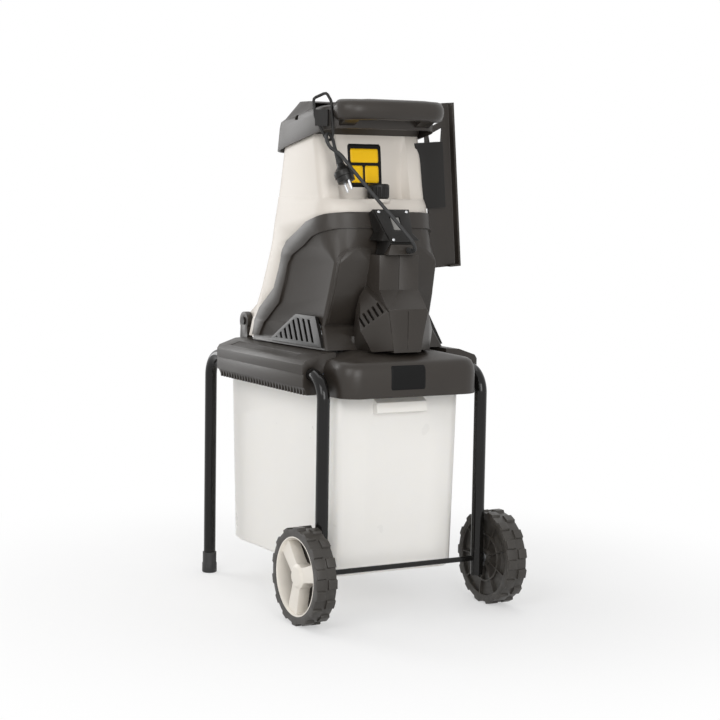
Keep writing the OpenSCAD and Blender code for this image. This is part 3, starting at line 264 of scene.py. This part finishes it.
def wear_group():
    """Mask of rubbed edges, broken up along their length."""
    tree, start, end = socket_group("edge_wear", {"Amount": 0.5}, ("Mask",))
    shape = add(tree, "ShaderNodeNewGeometry")
    rounded = add(tree, "ShaderNodeBevel", samples=WEAR_SAMPLES)
    rounded.inputs["Radius"].default_value = WEAR_RADIUS
    turned = add(tree, "ShaderNodeVectorMath", operation="DOT_PRODUCT")
    edge = ramp(tree, low=0.995, high=0.93)
    place = add(tree, "ShaderNodeTexCoord")
    breaks = noise(tree, detail=5, scale=60)
    gaps = ramp(tree, low=0.40, high=0.66)
    tree.links.new(shape.outputs["Normal"], turned.inputs[0])
    tree.links.new(rounded.outputs["Normal"], turned.inputs[1])
    tree.links.new(turned.outputs["Value"], edge.inputs["Value"])
    tree.links.new(place.outputs["Object"], breaks.inputs["Vector"])
    tree.links.new(breaks.outputs["Fac"], gaps.inputs["Value"])
    mask = scaled_mask(tree, edge.outputs[0], gaps.outputs[0], start.outputs["Amount"])
    tree.links.new(mask, end.inputs["Mask"])
    return tree


def dust_group():
    """Mask of dust that settles on faces turned up."""
    tree, start, end = socket_group("settled_dust", {"Amount": 0.3}, ("Mask",))
    shape = add(tree, "ShaderNodeNewGeometry")
    split = add(tree, "ShaderNodeSeparateXYZ")
    upward = ramp(tree, low=0.55, high=1.0)
    place = add(tree, "ShaderNodeTexCoord")
    cloud = noise(tree, detail=6, scale=26)
    patchy = ramp(tree, low=0.35, high=0.75)
    tree.links.new(shape.outputs["Normal"], split.inputs[0])
    tree.links.new(split.outputs["Z"], upward.inputs["Value"])
    tree.links.new(place.outputs["Object"], cloud.inputs["Vector"])
    tree.links.new(cloud.outputs["Fac"], patchy.inputs["Value"])
    mask = scaled_mask(tree, upward.outputs[0], patchy.outputs[0], start.outputs["Amount"])
    tree.links.new(mask, end.inputs["Mask"])
    return tree


def brush_group():
    """Fine parallel scratches of ground or drawn metal."""
    tree, start, end = socket_group("brushed_lines", {"Scale": METAL_LINES}, ("Lines",))
    place = add(tree, "ShaderNodeTexCoord")
    stretch = add(tree, "ShaderNodeMapping")
    stretch.inputs["Scale"].default_value = LINE_STRETCH
    lines = noise(tree, detail=4)
    tree.links.new(place.outputs["Object"], stretch.inputs["Vector"])
    tree.links.new(stretch.outputs[0], lines.inputs["Vector"])
    tree.links.new(start.outputs["Scale"], lines.inputs["Scale"])
    tree.links.new(lines.outputs["Fac"], end.inputs["Lines"])
    return tree


GRAIN = grain_group()
WEAR = wear_group()
DUST = dust_group()
BRUSH = brush_group()

# Finishes

DUST_COLOUR = (0.55, 0.52, 0.47)
GRAIN_DISTANCE = 0.0006
LINE_DISTANCE = 0.0003
# Roughness taken off and put on by the patches
PLASTIC_SPREAD = (0.07, 0.08)
METAL_SPREAD = (0.1, 0.12)
# Colour sockets of a mix node
MIX_UNDER, MIX_OVER, MIX_RESULT = 6, 7, 2


def blank_material(name, colour):
    material = bpy.data.materials.new(name)
    material.use_nodes = True
    material.diffuse_color = (*colour, 1)
    return material, material.node_tree, material.node_tree.nodes["Principled BSDF"]


def place_group(tree, group, **values):
    node = add(tree, "ShaderNodeGroup", node_tree=group)
    for name, value in values.items():
        node.inputs[name].default_value = value
    return node


def mix_colour(tree, mask, under, over):
    """Colour over laid on under by a mask; under may be a colour or an output."""
    node = add(tree, "ShaderNodeMix", data_type="RGBA")
    tree.links.new(mask, node.inputs["Factor"])
    if isinstance(under, tuple):
        node.inputs[MIX_UNDER].default_value = (*under, 1)
    else:
        tree.links.new(under, node.inputs[MIX_UNDER])
    node.inputs[MIX_OVER].default_value = (*over, 1)
    return node.outputs[MIX_RESULT]


def wire_surface(tree, shader, tint, patches, rough, spread):
    """Colour, and gloss that changes with the patches."""
    gloss = add(tree, "ShaderNodeMapRange")
    gloss.inputs["To Min"].default_value = rough - spread[0]
    gloss.inputs["To Max"].default_value = rough + spread[1]
    tree.links.new(tint, shader.inputs["Base Color"])
    tree.links.new(patches, gloss.inputs["Value"])
    tree.links.new(gloss.outputs[0], shader.inputs["Roughness"])


def wire_relief(tree, shader, height, depth, distance):
    """Fine relief that bends the shader's normal."""
    bump = add(tree, "ShaderNodeBump")
    bump.inputs["Strength"].default_value = depth
    bump.inputs["Distance"].default_value = distance
    tree.links.new(height, bump.inputs["Height"])
    tree.links.new(bump.outputs[0], shader.inputs["Normal"])


def moulded(
    name, colour, shade, rough, grain=PLASTIC_GRAIN, depth=0.12, worn=None, wear=0.0, dust=0.0,
    **sockets,
):
    """Moulded plastic or rubber: two close shades, grain, gloss patches, rubbed edges and dust."""
    material, tree, shader = blank_material(name, colour)
    pebbles = place_group(tree, GRAIN, Scale=grain)
    tint = mix_colour(tree, pebbles.outputs["Patches"], colour, shade)
    if worn:
        rubbed = place_group(tree, WEAR, Amount=wear)
        tint = mix_colour(tree, rubbed.outputs["Mask"], tint, worn)
    if dust:
        settled = place_group(tree, DUST, Amount=dust)
        tint = mix_colour(tree, settled.outputs["Mask"], tint, DUST_COLOUR)
    wire_surface(tree, shader, tint, pebbles.outputs["Patches"], rough, PLASTIC_SPREAD)
    wire_relief(tree, shader, pebbles.outputs["Height"], depth, GRAIN_DISTANCE)
    for label, value in sockets.items():
        shader.inputs[label.replace("_", " ")].default_value = value
    return material


def metal(name, colour, shade, rough, lines=METAL_LINES, depth=0.05):
    """Bare or plated metal with fine lines and dull patches."""
    material, tree, shader = blank_material(name, colour)
    scratches = place_group(tree, BRUSH, Scale=lines).outputs["Lines"]
    tint = mix_colour(tree, scratches, colour, shade)
    wire_surface(tree, shader, tint, scratches, rough, METAL_SPREAD)
    wire_relief(tree, shader, scratches, depth, LINE_DISTANCE)
    shader.inputs["Metallic"].default_value = 1
    return material


FINISHES = {
    "dark_plastic": moulded(
        "dark_grained_plastic", (0.024, 0.0192, 0.0155), (0.031, 0.0258, 0.021), 0.38,
        worn=(0.09, 0.083, 0.075), wear=0.35, dust=0.02, Specular_IOR_Level=0.38,
    ),
    "black_plastic": moulded(
        "black_satin_plastic", (0.009, 0.008, 0.007), (0.013, 0.012, 0.011), 0.32,
        grain=1200.0, depth=0.07, worn=(0.06, 0.06, 0.058), wear=0.35, dust=0.01,
        Specular_IOR_Level=0.26,
    ),
    "hopper_plastic": moulded(
        "warm_white_plastic", (0.62, 0.573, 0.515), (0.66, 0.613, 0.555), 0.42,
        depth=0.08, worn=(0.80, 0.77, 0.72), wear=0.4, dust=0.03,
    ),
    "box_plastic": moulded(
        "milky_plastic", (0.91, 0.88, 0.825), (0.93, 0.90, 0.845), 0.3, grain=500.0, depth=0.04,
        Subsurface_Weight=0.25, Subsurface_Radius=(0.02, 0.018, 0.015), Subsurface_Scale=0.4,
    ),
    "hub_plastic": moulded(
        "pale_grey_plastic", (0.76, 0.715, 0.645), (0.80, 0.755, 0.685), 0.42,
        depth=0.06, worn=(0.86, 0.83, 0.78), wear=0.4, dust=0.04,
    ),
    "tube_paint": moulded(
        "gloss_black_paint", (0.005, 0.0045, 0.004), (0.007, 0.0065, 0.006), 0.14,
        grain=220.0, depth=0.01, Specular_IOR_Level=0.2, Coat_Weight=0.2, Coat_Roughness=0.05,
    ),
    "foot_rubber": moulded(
        "soft_black_rubber", (0.013, 0.013, 0.013), (0.02, 0.02, 0.02), 0.58,
        grain=700.0, depth=0.1, dust=0.05,
    ),
    "tyre": moulded(
        "hard_tyre_plastic", (0.027, 0.0235, 0.0195), (0.036, 0.0315, 0.0265), 0.42,
        grain=800.0, depth=0.1, worn=(0.09, 0.083, 0.075), wear=0.45, dust=0.03,
        Specular_IOR_Level=0.5,
    ),
    "belt_rubber": moulded(
        "belt_rubber", (0.012, 0.012, 0.012), (0.02, 0.02, 0.02), 0.6, grain=600.0
    ),
    "zinc_steel": metal("zinc_plated_steel", (0.58, 0.59, 0.61), (0.68, 0.69, 0.70), 0.34),
    "bright_steel": metal(
        "ground_steel", (0.50, 0.51, 0.53), (0.62, 0.63, 0.64), 0.3, lines=500.0
    ),
    "motor_iron": metal(
        "laminated_iron", (0.24, 0.24, 0.25), (0.34, 0.34, 0.35), 0.5, lines=700.0, depth=0.12
    ),
    "copper": metal(
        "wound_copper", (0.48, 0.23, 0.10), (0.60, 0.30, 0.14), 0.4, lines=600.0, depth=0.2
    ),
    "cast_alloy": metal(
        "cast_alloy", (0.50, 0.50, 0.50), (0.58, 0.58, 0.58), 0.5, lines=150.0, depth=0.1
    ),
}
SWITCH_BOOT = moulded(
    "clear_grey_switch_boot", (0.08, 0.078, 0.074), (0.34, 0.33, 0.31), 0.3,
    grain=260.0, depth=0.5, Coat_Weight=0.4, Coat_Roughness=0.12,
)
LABEL_BLACK = moulded(
    "label_black", (0.008, 0.008, 0.008), (0.011, 0.011, 0.011), 0.5,
    grain=1500.0, depth=0.02, Specular_IOR_Level=0.1,
)
LABEL_AMBER = moulded(
    "label_amber", (0.90, 0.52, 0.006), (0.94, 0.56, 0.010), 0.4,
    grain=1500.0, depth=0.02, Specular_IOR_Level=0.2,
)

# Nodes that look unlike the rest of their slot
OWN_FINISH = {
    "rocker_switch": SWITCH_BOOT,
    "cord_clamp": FINISHES["dark_plastic"],
    "plunger_holder": FINISHES["black_plastic"],
    "left_vent_grille": FINISHES["black_plastic"],
    "right_vent_grille": FINISHES["black_plastic"],
    "hinge_pins": FINISHES["black_plastic"],
}

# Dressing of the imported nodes

SMOOTH_ANGLE = math.radians(33)
WELD_GAP = 1e-6
EDGE_SEGMENTS = 2
# Nodes with eased edges, by the radius in millimetres
EASED_EDGES = {
    1.2: ("base", "hopper_rim", "chip_guard", "collecting_box", "switch_box", "cord_clamp"),
    1.0: (
        "motor_cover", "hopper", "rear_handle", "left_rail", "right_rail", "left_hub_cover",
        "right_hub_cover", "plunger_holder",
    ),
    0.8: (
        "plunger", "left_wheel", "right_wheel", "lock_knob", "left_foot", "right_foot", "plug",
    ),
    0.6: (
        "switch_plate", "rocker_switch", "left_vent_grille", "right_vent_grille", "feed_chute",
    ),
}
EDGE_RADIUS = {name: radius for radius, names in EASED_EDGES.items() for name in names}


def angle_shading_group():
    """Smooth shading with sharp edges kept above an angle."""
    tree = bpy.data.node_groups.new("shade_by_angle", "GeometryNodeTree")
    tree.interface.new_socket("Geometry", in_out="INPUT", socket_type="NodeSocketGeometry")
    tree.interface.new_socket("Geometry", in_out="OUTPUT", socket_type="NodeSocketGeometry")
    start, end = tree.nodes.new("NodeGroupInput"), tree.nodes.new("NodeGroupOutput")
    angle = add(tree, "GeometryNodeInputMeshEdgeAngle")
    sharp = add(tree, "FunctionNodeCompare", operation="GREATER_THAN")
    sharp.inputs[1].default_value = SMOOTH_ANGLE
    edges = add(tree, "GeometryNodeSetShadeSmooth", domain="EDGE")
    edges.inputs["Shade Smooth"].default_value = False
    tree.links.new(start.outputs[0], edges.inputs["Geometry"])
    tree.links.new(angle.outputs["Unsigned Angle"], sharp.inputs[0])
    tree.links.new(sharp.outputs[0], edges.inputs["Selection"])
    tree.links.new(edges.outputs[0], end.inputs[0])
    return tree


ANGLE_SHADING = angle_shading_group()


def dress(name, piece, finish):
    """Finish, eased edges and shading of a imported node."""
    mesh = piece.data
    stored = mesh.attributes.get("custom_normal")
    if stored:
        mesh.attributes.remove(stored)
    shade_smooth(mesh)
    mesh.materials.clear()
    mesh.materials.append(finish)
    weld = piece.modifiers.new("weld", "WELD")
    weld.merge_threshold = WELD_GAP
    if name in EDGE_RADIUS:
        bevel = piece.modifiers.new("edges", "BEVEL")
        bevel.width = EDGE_RADIUS[name] / MM_PER_M
        bevel.segments = EDGE_SEGMENTS
        bevel.limit_method = "ANGLE"
        bevel.angle_limit = SMOOTH_ANGLE
        bevel.use_clamp_overlap = True
        bevel.harden_normals = False
    shading = piece.modifiers.new("shading", "NODES")
    shading.node_group = ANGLE_SHADING


for part in frame["record"]["subparts"]:
    name = part["node"]
    dress(name, nodes[name], OWN_FINISH.get(name, FINISHES[part["material_slot"]]))
cord.data.materials.append(FINISHES["foot_rubber"])

# Thin plates on the hopper and the base

PLATE_STEP = 0.004
RAY_FROM_Y = -1
STICKER_THICK = 0.0003
FIELD_THICK = 0.0002
FIELD_RADIUS = 0.0015
AMBER_FIELDS = {
    "hopper_label_top": ((-0.0425, 0.0180), (0.8404, 0.8665)),
    "hopper_label_left": ((-0.0425, -0.0162), (0.8025, 0.8345)),
    "hopper_label_right": ((-0.0117, 0.0180), (0.8025, 0.8345)),
}


def node_surface(name):
    mesh = nodes[name].data
    verts = [v.co.copy() for v in mesh.vertices]
    return BVHTree.FromPolygons(verts, [tuple(p.vertices) for p in mesh.polygons])


def rounded_grid(x0, x1, z0, z1, radius, step):
    """Points and faces of a rectangle with round corners, as rows of equal length."""
    columns = max(2, round((x1 - x0) / step))
    rows = max(2, round((z1 - z0) / step))
    points, faces = [], []
    for i in range(rows + 1):
        z = z0 + (z1 - z0) * i / rows
        depth = max(0.0, radius - min(z - z0, z1 - z))
        inset = radius - math.sqrt(max(radius**2 - depth**2, 0.0))
        for j in range(columns + 1):
            points.append((x0 + inset + (x1 - x0 - 2 * inset) * j / columns, z))
    for i in range(rows):
        for j in range(columns):
            a = i * (columns + 1) + j
            faces.append((a, a + 1, a + columns + 2, a + columns + 1))
    return points, faces


def rear_plate(name, surface, body, finish, x, z, radius, thick, lift=0.0):
    """Thin plate that follows a node's rear surface and is thickened towards it."""
    points, faces = rounded_grid(*x, *z, radius, PLATE_STEP)
    outer = []
    for px, pz in points:
        hit = surface.ray_cast(Vector((px, RAY_FROM_Y, pz)), Vector((0, 1, 0)))[0]
        outer.append(Vector((px, hit.y - lift - thick, pz)))
    piece = new_piece(name, outer, faces, body)
    solid = piece.modifiers.new("thickness", "SOLIDIFY")
    solid.thickness = thick
    solid.offset = -1
    piece.data.materials.append(finish)


hopper_surface = node_surface("hopper")
base_surface = node_surface("base")
rear_plate(
    "hopper_label", hopper_surface, "hopper", LABEL_BLACK,
    x=(-0.048, 0.0243), z=(0.794, 0.8755), radius=0.003, thick=STICKER_THICK,
)
for name, (x, z) in AMBER_FIELDS.items():
    rear_plate(
        name, hopper_surface, "hopper", LABEL_AMBER,
        x=x, z=z, radius=FIELD_RADIUS, thick=FIELD_THICK, lift=STICKER_THICK,
    )
rear_plate(
    "base_plate", base_surface, "chassis", LABEL_BLACK,
    x=(-0.051, 0.0215), z=(0.4268, 0.4713), radius=0.002, thick=0.0004,
)

# Studio

WHITE = (1, 1, 1, 1)
FLOOR_REACH = 30
FLOOR_DROP = 0.0004
FLOOR_COLOUR = (0.9, 0.9, 0.9)
FLOOR_ROUGHNESS = 0.7
FLOOR_SPECULAR = 0.2
# Distances between which the floor turns white, and its share of white at the near one
FADE_NEAR, FADE_FAR, FADE_SHARE = 0.25, 1.1, 0.45
AMBIENT_STRENGTH = 0.42
BACKDROP_STRENGTH = 1.0


def seen_rays(tree):
    """Rays from the camera, and those that come off gloss or through clear material."""
    paths = add(tree, "ShaderNodeLightPath")
    gloss = add(tree, "ShaderNodeMath", operation="ADD", use_clamp=True)
    clear = add(tree, "ShaderNodeMath", operation="ADD", use_clamp=True)
    tree.links.new(paths.outputs["Is Camera Ray"], gloss.inputs[0])
    tree.links.new(paths.outputs["Is Glossy Ray"], gloss.inputs[1])
    tree.links.new(gloss.outputs[0], clear.inputs[0])
    tree.links.new(paths.outputs["Is Transmission Ray"], clear.inputs[1])
    return clear.outputs[0]


def studio_floor():
    """Pale floor that fades to plain white away from the object."""
    mesh = bpy.data.meshes.new("floor")
    signs = ((-1, -1), (1, -1), (1, 1), (-1, 1))
    corners = [(x * FLOOR_REACH, y * FLOOR_REACH, 0) for x, y in signs]
    mesh.from_pydata(corners, [], [(0, 1, 2, 3)])
    floor = bpy.data.objects.new("floor", mesh)
    floor.location.z = -FLOOR_DROP
    scene.collection.objects.link(floor)
    material, tree, shader = blank_material("pale_floor", FLOOR_COLOUR)
    shader.inputs["Base Color"].default_value = (*FLOOR_COLOUR, 1)
    shader.inputs["Roughness"].default_value = FLOOR_ROUGHNESS
    shader.inputs["Specular IOR Level"].default_value = FLOOR_SPECULAR
    place = add(tree, "ShaderNodeTexCoord")
    away = add(tree, "ShaderNodeVectorMath", operation="LENGTH")
    fade = ramp(tree, FADE_NEAR, FADE_FAR)
    fade.inputs["To Min"].default_value = FADE_SHARE
    both = add(tree, "ShaderNodeMath", operation="MULTIPLY")
    white = add(tree, "ShaderNodeEmission")
    mix = add(tree, "ShaderNodeMixShader")
    tree.links.new(place.outputs["Object"], away.inputs[0])
    tree.links.new(away.outputs["Value"], fade.inputs["Value"])
    tree.links.new(fade.outputs[0], both.inputs[0])
    tree.links.new(seen_rays(tree), both.inputs[1])
    tree.links.new(both.outputs[0], mix.inputs[0])
    tree.links.new(shader.outputs[0], mix.inputs[1])
    tree.links.new(white.outputs[0], mix.inputs[2])
    tree.links.new(mix.outputs[0], tree.nodes["Material Output"].inputs["Surface"])
    mesh.materials.append(material)


def studio_world():
    """Soft light from all round, and a white backdrop for the rays that are seen."""
    world = bpy.data.worlds.new("studio")
    scene.world = world
    world.use_nodes = True
    tree = world.node_tree
    ambient = tree.nodes["Background"]
    ambient.inputs["Color"].default_value = WHITE
    ambient.inputs["Strength"].default_value = AMBIENT_STRENGTH
    backdrop = add(tree, "ShaderNodeBackground")
    backdrop.inputs["Color"].default_value = WHITE
    backdrop.inputs["Strength"].default_value = BACKDROP_STRENGTH
    mix = add(tree, "ShaderNodeMixShader")
    tree.links.new(seen_rays(tree), mix.inputs[0])
    tree.links.new(ambient.outputs[0], mix.inputs[1])
    tree.links.new(backdrop.outputs[0], mix.inputs[2])
    tree.links.new(mix.outputs[0], tree.nodes["World Output"].inputs["Surface"])


def softbox(name, at, aim, size, power):
    """Oblong lamp turned to a point, out of the camera's sight."""
    data = bpy.data.lights.new(name, "AREA")
    data.shape = "RECTANGLE"
    data.size, data.size_y = size
    data.energy = power
    lamp = bpy.data.objects.new(name, data)
    lamp.location = at
    lamp.visible_camera = False
    lamp.rotation_euler = (Vector(aim) - Vector(at)).to_track_quat("-Z", "Y").to_euler()
    scene.collection.objects.link(lamp)


studio_floor()
studio_world()
softbox("key_light", at=(-2.5, -1.7, 2.0), aim=(0, 0, 0.6), size=(1.6, 1.6), power=30)
softbox("side_light", at=(-1.4, 2.6, 1.2), aim=(0, 0, 0.7), size=(1.4, 1.6), power=28)
softbox("fill_light", at=(-0.7, -3.4, 1.4), aim=(0, 0, 0.4), size=(1.6, 1.6), power=44)
softbox("top_light", at=(0.2, 0.6, 3.0), aim=(0, 0, 0.5), size=(2.2, 2.2), power=18)
